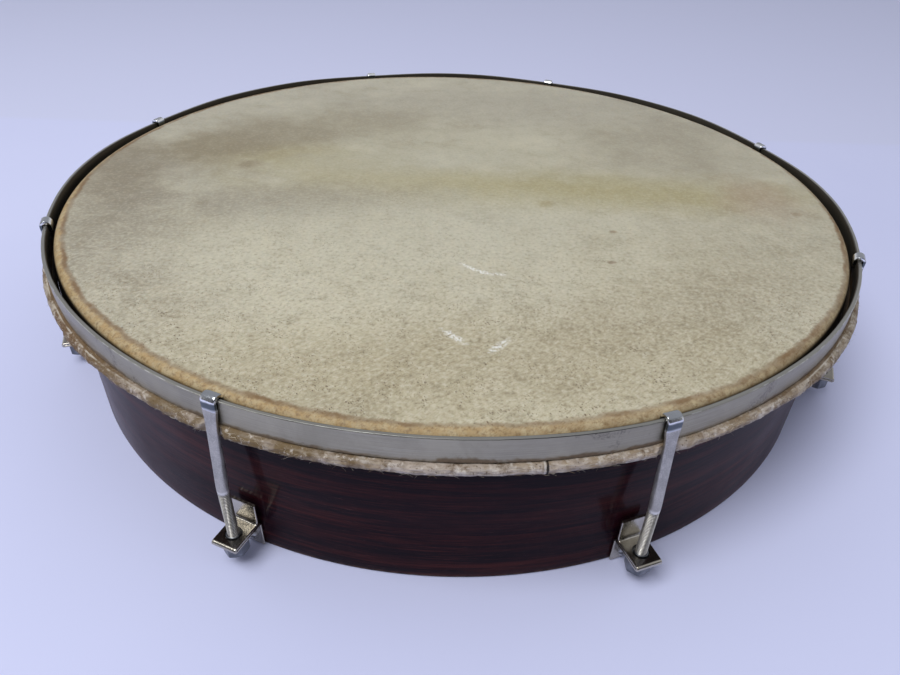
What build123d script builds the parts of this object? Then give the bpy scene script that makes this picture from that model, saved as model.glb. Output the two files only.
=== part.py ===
from build123d import *
import os

# A tunable frame drum: a bent-wood shell, a skin head lapped round a flesh hoop, a flat metal
# counter hoop that presses the flesh hoop down, and eight tension hooks that pull the counter hoop
# towards folded brackets on the shell. It stands on the shell's bottom rim, +Z up, in millimetres.

# Bearings of the eight stations round the rim, in degrees from +X. They are spaced by hand.
station_bearings = [19.5, 70.0, 109.5, 159.0, 200.0, 247.5, 291.5, 338.5]

# Wooden shell, which is a little wider round its top than round its foot
shell_radius = 177.5
shell_top_radius = 179.2
shell_widens_from = 26.0
shell_widest_from = 58.0
shell_wall = 7.0
shell_height = 70.3
bearing_edge_round = 2.8
inner_edge_round = 3.5
bottom_edge_round = 0.9

# Skin head, and the hoop that its edge is lapped round
skin_thickness = 0.8
skin_seat_gap = 0.02
flesh_hoop_radius = 182.6
flesh_hoop_height = 60.65
flesh_hoop_round = 1.4
lap_radius = 183.2
lap_half_width = 2.5
lap_half_height = 2.2
lap_core_gap = 0.05
collar_end_gap = 0.05

# Counter hoop
hoop_outer_radius = 183.5
hoop_thickness = 1.5
hoop_bottom = 62.9
hoop_height = 9.4
hoop_edge_round = 0.4

# Tension hooks: a rod flattened into a strap at the top and bent over the counter hoop
rod_axis_radius = 186.6
rod_radius = 1.95
rod_bottom = 5.8
rod_round_top = 36.0
rod_end_chamfer = 0.5
strap_thickness = 1.5
strap_width = 5.5
crown_inner_radius = 0.95
crown_height = 71.65
claw_bottom = 69.0
strap_straight_bottom = 67.0
hook_bend_height = 63.0
hook_full_depth_height = 46.0
hook_lean_foot = 40.0
hook_pocket_wall = 0.2
hook_pocket_gap = 0.1
hook_pocket_width = 5.6

# Brackets: one strip folded double, with a leg below the plate and a tab above it
bracket_width = 10.0
bracket_strip = 1.1
plate_bottom = 11.2
plate_reach = 15.0
leg_bottom = 0.6
leg_gap = 0.05
tab_top = 22.8
tab_gap = 1.5
inner_bend_round = 0.5
tab_bend_round = 1.1
plate_hole_radius = 3.05

# Tuning nuts: a hexagon below the plate, with a collar that centres it in the plate's hole
nut_across_flats = 8.0
nut_hex_bottom = 5.2
nut_plate_gap = 0.05
nut_collar_radius = 2.5
nut_collar_top = 13.9
nut_chamfer = 0.5
thread_clearance = 0.03

# Machine screws that hold the brackets, with a washer and a nut inside the shell
screw_height = 5.1
screw_radius = 1.45
screw_hole_radius = 1.6
screw_head_radius = 2.8
screw_head_depth = 1.5
screw_slot_width = 0.7
screw_slot_depth = 0.6
screw_end_past_nut = 0.8
washer_radius = 3.5
washer_thickness = 0.5
washer_gap = 0.05
screw_nut_across_flats = 5.5
screw_nut_depth = 2.3
contact_gap = 0.02

plate_thickness = 2 * bracket_strip
plate_top = plate_bottom + plate_thickness
head_bottom = shell_height + skin_seat_gap
hoop_inner_radius = hoop_outer_radius - hoop_thickness
shell_inner_radius = shell_radius - shell_wall
hook_pocket_radius = flesh_hoop_radius + flesh_hoop_round + lap_core_gap + hook_pocket_wall


def face_in_rz(points):
    """A flat face in the plane that holds the drum's axis, from its (radius, height) corners."""
    return Plane.XZ * make_face(Polyline(*points, close=True))


def spin(face):
    """A ring with this face as its section."""
    return revolve(face, axis=Axis.Z, revolution_arc=360)


def at_station(solid, angle):
    return Rot(0, 0, angle) * solid


def hexagon(across_flats, height, chamfer_size):
    """A nut blank that stands on z = 0, its corners turned off at both ends."""
    blank = RegularPolygon(across_flats / 2, 6, major_radius=False)
    corner_radius = across_flats / 3 ** 0.5
    turned = Pos(0, 0, height / 2) * Cylinder(corner_radius, height)
    turned = chamfer(turned.edges().filter_by(GeomType.CIRCLE), chamfer_size)
    return extrude(blank, height) & turned


def along_radius(solid, radius, height):
    """Lays a solid that stands on z = 0 along +X, its foot at this radius."""
    return Pos(radius, 0, height) * Rot(0, 90, 0) * solid


def make_shell():
    section = face_in_rz([
        (shell_inner_radius, 0),
        (shell_radius, 0),
        (shell_radius, shell_widens_from),
        (shell_top_radius, shell_widest_from),
        (shell_top_radius, shell_height),
        (shell_inner_radius, shell_height),
    ])
    corners = section.vertices()
    low = corners.sort_by(Axis.Z)[:2]
    section = fillet(low, bottom_edge_round)
    top = section.vertices().sort_by(Axis.Z)[-2:]
    section = fillet(top.sort_by(Axis.X)[-1], bearing_edge_round)
    top = section.vertices().group_by(Axis.Z)[-1]
    section = fillet(top.sort_by(Axis.X)[0], inner_edge_round)
    shell = spin(section)
    for angle in station_bearings:
        hole = Cylinder(screw_hole_radius, 3 * shell_wall)
        shell -= at_station(along_radius(hole, shell_radius, screw_height), angle)
    return shell


def make_drumhead():
    flat_radius = shell_top_radius - bearing_edge_round
    return Pos(0, 0, head_bottom + skin_thickness / 2) * Cylinder(flat_radius, skin_thickness)


def make_head_collar():
    """The skin from the bearing edge, round its curve and down to the flesh hoop."""
    inner = bearing_edge_round + skin_seat_gap
    outer = inner + skin_thickness
    centre = (shell_top_radius - bearing_edge_round, shell_height - bearing_edge_round)
    end_radius = lap_radius - lap_half_width - collar_end_gap
    end_low = flesh_hoop_height - 0.5 * skin_thickness
    end_high = flesh_hoop_height + 0.5 * skin_thickness
    knee = 64.5
    outline = (
        Line((centre[0], centre[1] + inner), (centre[0], centre[1] + outer))
        + CenterArc(centre, outer, 0, 90)
        + Line((centre[0] + outer, centre[1]), (centre[0] + outer, knee))
        + Line((centre[0] + outer, knee), (end_radius, end_high))
        + Line((end_radius, end_high), (end_radius, end_low))
        + Line((end_radius, end_low), (centre[0] + inner, knee - skin_thickness))
        + Line((centre[0] + inner, knee - skin_thickness), (centre[0] + inner, centre[1]))
        + CenterArc(centre, inner, 0, 90)
    )
    return spin(Plane.XZ * make_face(outline))


def make_flesh_hoop():
    section = Plane.XZ * Pos(flesh_hoop_radius, flesh_hoop_height) * Circle(flesh_hoop_round)
    return spin(section)


def make_head_lap():
    """The edge of the skin, lapped round the flesh hoop and pressed in where a hook passes.

    Its section is a C that is open at the top, where the two ends of the skin meet.
    """
    outside = Pos(lap_radius, flesh_hoop_height) * Ellipse(lap_half_width, lap_half_height)
    core = Pos(flesh_hoop_radius, flesh_hoop_height) * Circle(flesh_hoop_round + lap_core_gap)
    mouth = Pos(flesh_hoop_radius, flesh_hoop_height) * make_face(Polyline(
        (0, 0),
        (-lap_core_gap, 2 * lap_half_width),
        (-2 * lap_half_width, lap_half_width),
        close=True,
    ))
    lap = spin(Plane.XZ * (outside - core - mouth))
    for angle in station_bearings:
        pocket = Pos(hook_pocket_radius + lap_half_width, 0, flesh_hoop_height) * Box(
            2 * lap_half_width, hook_pocket_width, 4 * lap_half_height
        )
        lap -= at_station(pocket, angle)
    return lap


def make_counter_hoop():
    section = face_in_rz([
        (hoop_inner_radius, hoop_bottom),
        (hoop_outer_radius, hoop_bottom),
        (hoop_outer_radius, hoop_bottom + hoop_height),
        (hoop_inner_radius, hoop_bottom + hoop_height),
    ])
    return spin(fillet(section.vertices(), hoop_edge_round))


def make_tension_hook():
    """One hook at angle 0: its side outline crossed with its front outline, and a round rod."""
    crown_axis = (hoop_inner_radius + hoop_outer_radius) / 2
    crown_outer_radius = crown_inner_radius + strap_thickness
    arch = Circle(crown_outer_radius) - Circle(crown_inner_radius)
    arch = arch & Pos(0, crown_outer_radius) * Rectangle(2 * crown_outer_radius, 2 * crown_outer_radius)
    arch = Plane.XZ * Pos(crown_axis, crown_height) * arch
    claw_inner = crown_axis - crown_outer_radius
    claw = face_in_rz([
        (claw_inner, claw_bottom),
        (claw_inner + strap_thickness, claw_bottom),
        (claw_inner + strap_thickness, crown_height),
        (claw_inner, crown_height),
    ])
    claw = fillet(claw.vertices().sort_by(Axis.Z)[:2], 0.4 * strap_thickness)
    strap_inner = crown_axis + crown_inner_radius
    strap_outer = crown_axis + crown_outer_radius
    rod_inner = rod_axis_radius - rod_radius
    rod_outer = rod_axis_radius + rod_radius
    shank = face_in_rz([
        (strap_inner, crown_height),
        (strap_inner, strap_straight_bottom),
        (hook_pocket_radius + hook_pocket_gap, hook_bend_height),
        (rod_inner, hook_full_depth_height),
        (rod_inner, rod_round_top),
        (rod_outer, rod_round_top),
        (rod_outer, hook_lean_foot),
        (hook_pocket_radius + hook_pocket_gap + strap_thickness, hook_bend_height),
        (strap_outer, strap_straight_bottom + 1.0),
        (strap_outer, crown_height),
    ])
    side = extrude(arch + claw + shank, strap_width, both=True)
    front = Plane.YZ * make_face(Polyline(
        (-rod_radius, rod_round_top),
        (rod_radius, rod_round_top),
        (rod_radius, hook_full_depth_height - 8.0),
        (0.38 * strap_width, hook_bend_height),
        (strap_width / 2, crown_height - 4.0),
        (strap_width / 2, crown_height + 4.0),
        (-strap_width / 2, crown_height + 4.0),
        (-strap_width / 2, crown_height - 4.0),
        (-0.38 * strap_width, hook_bend_height),
        (-rod_radius, hook_full_depth_height - 8.0),
        close=True,
    ))
    upper = side & extrude(front, 2 * rod_axis_radius)
    rod_length = rod_round_top + 1.0 - rod_bottom
    rod = Pos(rod_axis_radius, 0, rod_bottom + rod_length / 2) * Cylinder(rod_radius, rod_length)
    rod = chamfer(rod.edges().filter_by(GeomType.CIRCLE).sort_by(Axis.Z)[0], rod_end_chamfer)
    return upper + rod


def make_bracket():
    """One bracket at angle 0, as a single outline of the folded strip."""
    back = shell_radius + leg_gap
    leg_front = back + bracket_strip
    tab_back = shell_radius + tab_gap
    tab_front = tab_back + bracket_strip
    fold_radius = plate_thickness / 2
    fold_centre = shell_radius + plate_reach - fold_radius
    outline = face_in_rz([
        (back, leg_bottom),
        (leg_front, leg_bottom),
        (leg_front, plate_bottom),
        (fold_centre, plate_bottom),
        (fold_centre, plate_top),
        (tab_front, plate_top),
        (tab_front, tab_top),
        (tab_back, tab_top),
        (tab_back, plate_bottom + bracket_strip),
        (back, plate_bottom + bracket_strip),
    ])
    inner_bend = outline.vertices().sort_by_distance((leg_front, 0, plate_bottom))[0]
    outline = fillet(inner_bend, inner_bend_round)
    tab_bend = outline.vertices().sort_by_distance((tab_front, 0, plate_top))[0]
    outline = fillet(tab_bend, tab_bend_round)
    outer_bend = outline.vertices().sort_by_distance((back, 0, plate_bottom + bracket_strip))[0]
    outline = fillet(outer_bend, 0.8 * bracket_strip)
    fold = Plane.XZ * Pos(fold_centre, plate_bottom + fold_radius) * Circle(fold_radius)
    bracket = extrude(outline + fold, bracket_width / 2, both=True)
    bracket -= Pos(rod_axis_radius, 0, plate_bottom) * Cylinder(plate_hole_radius, 4 * plate_thickness)
    bracket -= along_radius(Cylinder(screw_hole_radius, 6 * bracket_strip), back, screw_height)
    return bracket


def make_tuning_nut():
    hex_height = plate_bottom - nut_plate_gap - nut_hex_bottom
    nut = Pos(0, 0, nut_hex_bottom) * hexagon(nut_across_flats, hex_height, nut_chamfer)
    collar_height = nut_collar_top - nut_hex_bottom
    collar = Pos(0, 0, nut_hex_bottom + collar_height / 2) * Cylinder(nut_collar_radius, collar_height)
    collar = fillet(collar.edges().filter_by(GeomType.CIRCLE).sort_by(Axis.Z)[-1], nut_chamfer)
    bore = Cylinder(rod_radius + thread_clearance, 6 * nut_across_flats)
    return Pos(rod_axis_radius, 0, 0) * (nut + collar - bore)


def make_screw():
    """One bracket screw at angle 0, its head outside and its end past the nut inside the shell."""
    head_seat = shell_radius + leg_gap + bracket_strip + contact_gap
    end = shell_inner_radius - washer_gap - washer_thickness - screw_nut_depth - screw_end_past_nut
    length = head_seat - end
    shank = Pos(0, 0, length / 2) * Cylinder(screw_radius, length)
    head = Pos(0, 0, length + screw_head_depth / 2) * Cylinder(screw_head_radius, screw_head_depth)
    head = fillet(head.edges().filter_by(GeomType.CIRCLE).sort_by(Axis.Z)[-1], 0.6 * screw_head_depth)
    slot = Pos(0, 0, length + screw_head_depth) * Box(
        screw_slot_width, 3 * screw_head_radius, 2 * screw_slot_depth
    )
    return along_radius(shank + head - slot, end, screw_height)


def make_washer():
    washer = Pos(0, 0, washer_thickness / 2) * (
        Cylinder(washer_radius, washer_thickness) - Cylinder(screw_hole_radius, 2 * washer_thickness)
    )
    return along_radius(washer, shell_inner_radius - washer_gap - washer_thickness, screw_height)


def make_screw_nut():
    blank = hexagon(screw_nut_across_flats, screw_nut_depth, 0.6 * nut_chamfer)
    bore = Cylinder(screw_radius + thread_clearance, 4 * screw_nut_depth)
    foot = shell_inner_radius - washer_gap - washer_thickness - contact_gap - screw_nut_depth
    return along_radius(blank - bore, foot, screw_height)


def save(name, shape):
    export_step(shape, os.path.join("parts", name + ".step"))


def save_one_per_station(name, solid):
    for number, angle in enumerate(station_bearings, start=1):
        save(f"{name}_{number}", at_station(solid, angle))


def save_group(name, solid):
    """One file that holds a separate solid at every station."""
    save(name, Compound(children=[at_station(solid, angle) for angle in station_bearings]))


os.makedirs("parts", exist_ok=True)
save("shell", make_shell())
save("drumhead", make_drumhead())
save("head_collar", make_head_collar())
save("flesh_hoop", make_flesh_hoop())
save("head_lap", make_head_lap())
save("counter_hoop", make_counter_hoop())
save_one_per_station("tension_hook", make_tension_hook())
save_one_per_station("bracket", make_bracket())
save_one_per_station("tuning_nut", make_tuning_nut())
save_group("bracket_screws", make_screw())
save_group("screw_washers", make_washer())
save_group("screw_nuts", make_screw_nut())
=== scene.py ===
import math

import bpy
import numpy as np
from mathutils import Matrix, Vector, noise


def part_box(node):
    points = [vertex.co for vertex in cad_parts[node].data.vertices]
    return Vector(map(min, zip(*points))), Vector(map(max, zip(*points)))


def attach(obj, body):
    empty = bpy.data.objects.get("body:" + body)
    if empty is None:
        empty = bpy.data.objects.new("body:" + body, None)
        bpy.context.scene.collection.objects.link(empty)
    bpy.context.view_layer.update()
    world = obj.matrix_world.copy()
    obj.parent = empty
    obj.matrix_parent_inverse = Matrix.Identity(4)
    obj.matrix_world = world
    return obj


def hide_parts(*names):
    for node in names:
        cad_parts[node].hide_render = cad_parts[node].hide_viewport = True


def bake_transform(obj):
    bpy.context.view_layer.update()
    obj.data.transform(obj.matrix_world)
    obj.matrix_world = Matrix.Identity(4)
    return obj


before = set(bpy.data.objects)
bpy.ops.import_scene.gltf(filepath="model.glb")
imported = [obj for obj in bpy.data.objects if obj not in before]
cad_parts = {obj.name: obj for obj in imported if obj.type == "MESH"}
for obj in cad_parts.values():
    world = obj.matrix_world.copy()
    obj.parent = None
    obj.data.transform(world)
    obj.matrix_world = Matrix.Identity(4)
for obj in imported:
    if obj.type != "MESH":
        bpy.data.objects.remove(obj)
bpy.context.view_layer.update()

# The looks of a tunable frame drum around its CAD frame, in metres: a bent-wood shell, a skin head
# lapped round a flesh hoop, a flat counter hoop, and eight tension hooks, brackets and nuts.

MM = 0.001

# Places taken from the frame
STATIONS = 8
SHELL_RADIUS = 177.5 * MM
SHELL_TOP_RADIUS = 179.2 * MM
SHELL_WIDENS_FROM = 26.0 * MM
SHELL_WIDEST_FROM = 58.0 * MM
SHELL_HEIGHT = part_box("shell")[1].z
SHELL_WALL = 7.0 * MM
BEARING_ROUND = 2.8 * MM
SKIN_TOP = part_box("drumhead")[1].z
SKIN_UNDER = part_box("drumhead")[0].z
HOOP_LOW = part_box("counter_hoop")[0].z
HOOP_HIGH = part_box("counter_hoop")[1].z
HOOP_RADIUS = 183.5 * MM
HOOP_THICKNESS = 1.5 * MM
LAP_RADIUS = 183.2 * MM
LAP_HEIGHT = (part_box("head_lap")[0].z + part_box("head_lap")[1].z) / 2
LAP_HALF_WIDTH = 2.5 * MM
LAP_HALF_HEIGHT = 2.2 * MM
RIDGE_RADIUS = 184.6 * MM
HOOK_POCKET_RADIUS = 184.25 * MM
ROD_AXIS = 186.6 * MM
ROD_RADIUS = 1.95 * MM
ROD_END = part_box("tension_hook_1")[0].z
PLATE_TOP = 13.4 * MM
PLATE_BOTTOM = 11.2 * MM
NUT_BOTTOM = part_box("tuning_nut_1")[0].z
NUT_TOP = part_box("tuning_nut_1")[1].z

FULL_TURN = 2 * math.pi


def station_angle(number):
    """The bearing of one hook, from its nut, which is the same all round its axis."""
    low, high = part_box(f"tuning_nut_{number}")
    return math.atan2(low.y + high.y, low.x + high.x)


STATION_ANGLES = [station_angle(number) for number in range(1, STATIONS + 1)]
HOOP_DIP = 0.6 * MM
HOOP_RISE = 0.35 * MM
HOOP_TILT = 0.4 * MM


# ---- mesh helpers

def quads_of(rows, columns, close_rows, close_columns):
    """The faces of a grid of points, as an array of four indices each."""
    index = np.arange(rows * columns).reshape(rows, columns)
    across = np.roll(index, -1, 1)
    faces = np.stack([index, np.roll(index, -1, 0), np.roll(across, -1, 0), across], -1)
    if not close_rows:
        faces = faces[:-1]
    if not close_columns:
        faces = faces[:, :-1]
    return faces.reshape(-1, 4)


def volume_of(points, faces):
    a, b, c = (points[[f[i] for f in faces]] for i in (0, 1, 2))
    total = (a * np.cross(b, c)).sum()
    four = [f for f in faces if len(f) == 4]
    if four:
        a, b, c = (points[[f[i] for f in four]] for i in (0, 2, 3))
        total += (a * np.cross(b, c)).sum()
    return total


def mesh_piece(name, points, faces, material, sharp_angle=math.radians(40)):
    """A closed, smooth-shaded mesh object whose faces look outwards."""
    points = np.asarray(points, float).reshape(-1, 3)
    faces = [tuple(int(i) for i in f) for f in faces]
    if volume_of(points - points.mean(0), faces) < 0:
        faces = [f[::-1] for f in faces]
    mesh = bpy.data.meshes.new(name)
    mesh.from_pydata(points.tolist(), [], faces)
    mesh.validate()
    mesh.shade_smooth()
    mesh.set_sharp_from_angle(angle=sharp_angle)
    mesh.materials.append(material)
    piece = bpy.data.objects.new(name, mesh)
    bpy.context.scene.collection.objects.link(piece)
    return piece


def grid_piece(name, grid, material, close_rows=False, close_columns=True, caps=True, **options):
    """A piece made of a grid of points: rows of cross-sections, capped at both ends."""
    rows, columns = grid.shape[:2]
    faces = quads_of(rows, columns, close_rows, close_columns).tolist()
    if caps and not close_rows:
        last = (rows - 1) * columns
        faces.append(list(range(columns))[::-1])
        faces.append([last + i for i in range(columns)])
    return mesh_piece(name, grid.reshape(-1, 3), faces, material, **options)


def ring_grid(radius, height, segments):
    """Spins a section round the drum's axis. Radius and height are (section,) or (segments, section)."""
    return polar(np.asarray(radius), ring_angles(segments)[:, None], height)


def ring_angles(segments):
    return np.arange(segments) * FULL_TURN / segments


def waves(angle, random, lowest, highest, size):
    """A smooth seamless wobble round the drum, with about this standard deviation."""
    counts = np.arange(lowest, highest + 1)
    phases = random.random(len(counts)) * FULL_TURN
    weights = 1 / np.sqrt(counts)
    total = (weights * np.cos(np.multiply.outer(angle, counts) + phases)).sum(-1)
    return total * size / math.sqrt((weights ** 2).sum() / 2)


def from_station(angle):
    """How far each angle is from the nearest station, in metres along the lap."""
    return abs(arc_from(np.asarray(angle)[..., None], STATION_ANGLES)).min(-1) * LAP_RADIUS


def hoop_lift(angle):
    """How far the counter hoop stands above its CAD height: pulled down at each hook, proud between."""
    near = np.clip(from_station(angle) / (58 * MM), 0, 1)
    sway = waves(angle, np.random.default_rng(5), 2, 14, 0.06 * MM)
    tilt = -HOOP_TILT * np.sin(angle)
    return sway + tilt + HOOP_RISE - (HOOP_RISE + HOOP_DIP) * (0.5 + 0.5 * np.cos(math.pi * near))


def bend(centre, radius, start, end, steps):
    turn = np.radians(np.linspace(start, end, steps))
    return [(centre[0] + radius * math.cos(t), centre[1] + radius * math.sin(t)) for t in turn]


def rounded_box_section(low, high, round_size, steps=5):
    """The closed outline of a rectangle with round corners, as points anticlockwise."""
    corners = [(high[0], low[1], -90), (high[0], high[1], 0), (low[0], high[1], 90), (low[0], low[1], 180)]
    points = []
    for x, y, start in corners:
        centre_x = x - math.copysign(round_size, x - (low[0] + high[0]) / 2)
        centre_y = y - math.copysign(round_size, y - (low[1] + high[1]) / 2)
        for turn in np.radians(np.linspace(start, start + 90, steps)):
            points.append((centre_x + round_size * math.cos(turn), centre_y + round_size * math.sin(turn)))
    return np.array(points)


def lumps(points, size, seed):
    """Noise from -1 to 1 at each point, with lumps of about this size."""
    shift = Vector((seed * 7.31, seed * 3.17, seed * 5.77))
    flat = points.reshape(-1, 3) / size
    return np.array([noise.noise(Vector(p) + shift) for p in flat]).reshape(points.shape[:-1])


def keep(piece, name, values):
    """Stores one number for each point of a piece, for its material to read."""
    stored = piece.data.attributes.new(name, "FLOAT", "POINT")
    stored.data.foreach_set("value", np.ravel(values).astype(np.float32))


def part_way(value, start, end):
    """0 at the start, 1 at the end and in proportion between."""
    return np.clip((value - start) / (end - start), 0, 1)


def hump(place, half_width):
    return np.exp(-(place / half_width) ** 2)


def arc_from(angle, start):
    """The signed turn from one bearing to another, at most half a turn."""
    return (angle - start + math.pi) % FULL_TURN - math.pi


def polar(radius, angle, height):
    x = radius * np.cos(angle)
    return np.stack([x, radius * np.sin(angle), np.broadcast_to(height, x.shape)], -1)


def normals_of(path):
    tangent = np.gradient(path, axis=0)
    tangent /= np.linalg.norm(tangent, axis=1)[:, None]
    return np.stack([-tangent[:, 1], tangent[:, 0]], -1)


def turned(points, angle):
    c, s = math.cos(angle), math.sin(angle)
    return points @ np.array([[c, s, 0], [-s, c, 0], [0, 0, 1]])


# ---- material helpers

class Value:
    """A shader socket that takes part in sums, products and ranges."""

    def __init__(self, shader, socket):
        self.shader = shader
        self.socket = socket

    def __add__(self, other):
        return self.shader.maths("ADD", self, other)

    def __sub__(self, other):
        return self.shader.maths("SUBTRACT", self, other)

    def __rsub__(self, other):
        return self.shader.maths("SUBTRACT", other, self)

    def __mul__(self, other):
        return self.shader.maths("MULTIPLY", self, other)

    def __abs__(self):
        return self.shader.maths("ABSOLUTE", self)

    def spread(self, low, high, to_low=0.0, to_high=1.0, kind="SMOOTHSTEP"):
        inputs = {"Value": self, "From Min": low, "From Max": high, "To Min": to_low, "To Max": to_high}
        return self.shader.node("MapRange", inputs, interpolation_type=kind)


class Shader:
    """Short ways to add nodes to a shader tree. Colours are linear."""

    def __init__(self, tree):
        self.tree = tree

    def link(self, value, socket):
        if isinstance(value, Value):
            self.tree.links.new(value.socket, socket)
        elif socket.type == "RGBA" and len(value) == 3:
            socket.default_value = (*value, 1)
        else:
            socket.default_value = value

    def node(self, kind, inputs, output=0, **settings):
        made = self.tree.nodes.new("ShaderNode" + kind)
        for name, value in settings.items():
            setattr(made, name, value)
        for key, value in inputs.items():
            self.link(value, made.inputs[key])
        return Value(self, made.outputs[output])

    def axes(self, vector):
        return [self.node("SeparateXYZ", {0: vector}, axis) for axis in "XYZ"]

    def maths(self, operation, a, b=0.0, clamp=False):
        return self.node("Math", {0: a, 1: b}, operation=operation, use_clamp=clamp)

    def mix(self, share, a, b):
        return self.node("Mix", {0: share, 6: a, 7: b}, 2, data_type="RGBA", clamp_factor=True)

    def coated(self, colour, *coats):
        """A colour under tints: (cover, share, tint) or (pattern, where none, where full, share, tint)."""
        for cover, *ends, share, tint in coats:
            if ends:
                cover = cover.spread(*ends)
            colour = self.mix(cover * share, colour, tint)
        return colour


class Paint(Shader):
    """A material and its patterns, in the object's own coordinates."""

    def __init__(self, name):
        self.material = bpy.data.materials.new(name)
        self.material.use_nodes = True
        super().__init__(self.material.node_tree)
        self.place = self.node("TexCoord", {}, "Object")
        self.facing = self.node("TexCoord", {}, "Normal")

    def coat(self, *coats):
        self.colour = self.coated(self.colour, *coats)

    def finished(self, *bumps, **inputs):
        """The material, with its colour, these inputs and a stack of bumps, each (height, depth in metres)."""
        shader = self.tree.nodes["Principled BSDF"].inputs
        for name, value in (("Base Color", self.colour), *inputs.items()):
            self.link(value, shader[name.replace("_", " ")])
        under = {}
        for height, depth in bumps:
            normal = self.node("Bump", {"Height": height, "Distance": depth, "Strength": 1.0, **under})
            under = {"Normal": normal}
            self.link(normal, shader["Normal"])
        return self.material

    def kept(self, name):
        """A number that the piece stores at each of its points."""
        return self.node("Attribute", {}, "Fac", attribute_name=name)

    def moved(self, scale, turn=0.0):
        return self.node("Mapping", {"Vector": self.place, "Rotation": (0, 0, turn), "Scale": scale})

    def strands(self, vector, angle, length, width):
        """Coordinates whose unit is a strand this long and wide, turned by this angle."""
        inputs = {"Vector": vector, "Rotation": (0, 0, angle), "Scale": (length, width, width)}
        return self.node("Mapping", inputs, vector_type="TEXTURE")

    def noise(self, scale, detail=4.0, roughness=0.55, distortion=0.0, at=None):
        inputs = {"Vector": at or self.place, "Scale": scale, "Detail": detail,
                  "Roughness": roughness, "Distortion": distortion}
        return self.node("TexNoise", inputs, "Fac")

    def streaks(self, scale, detail, roughness, distortion=0.0, turn=0.0):
        """Noise with its own scale along each axis."""
        return self.noise(1.0, detail, roughness, distortion, self.moved(scale, turn))

    def wobble(self, size, *pattern):
        """Noise round zero."""
        return (self.noise(*pattern) - 0.5) * size

    def cells(self, at):
        return self.node("TexVoronoi", {"Vector": at, "Scale": 1.0, "Randomness": 1.0}, "Distance")

    def ramp(self, value, *stops):
        colour = self.node("ValToRGB", {0: value})
        elements = colour.socket.node.color_ramp.elements
        while len(elements) < len(stops):
            elements.new(0.5)
        for element, (position, tint) in zip(elements, stops):
            element.position = position
            element.color = (*tint, 1)
        return colour

    def radius(self):
        """The distance from the drum's axis."""
        x, y, _ = self.axes(self.place)
        return self.maths("SQRT", x * x + y * y)

    def blob(self, centre, half_size, angle, soft, ragged, ragged_scale):
        """1 inside a soft ragged ellipse of the object's own plane, 0 outside."""
        inputs = {"Vector": self.place, "Location": (*centre, 0), "Rotation": (0, 0, angle),
                  "Scale": (*half_size, 1000)}
        inside = self.node("Mapping", inputs, vector_type="TEXTURE")
        reach = self.node("VectorMath", {0: inside}, "Value", operation="LENGTH")
        return (reach + self.wobble(ragged, ragged_scale, 5)).spread(1 + soft, 1 - soft)


# ---- materials

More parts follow.
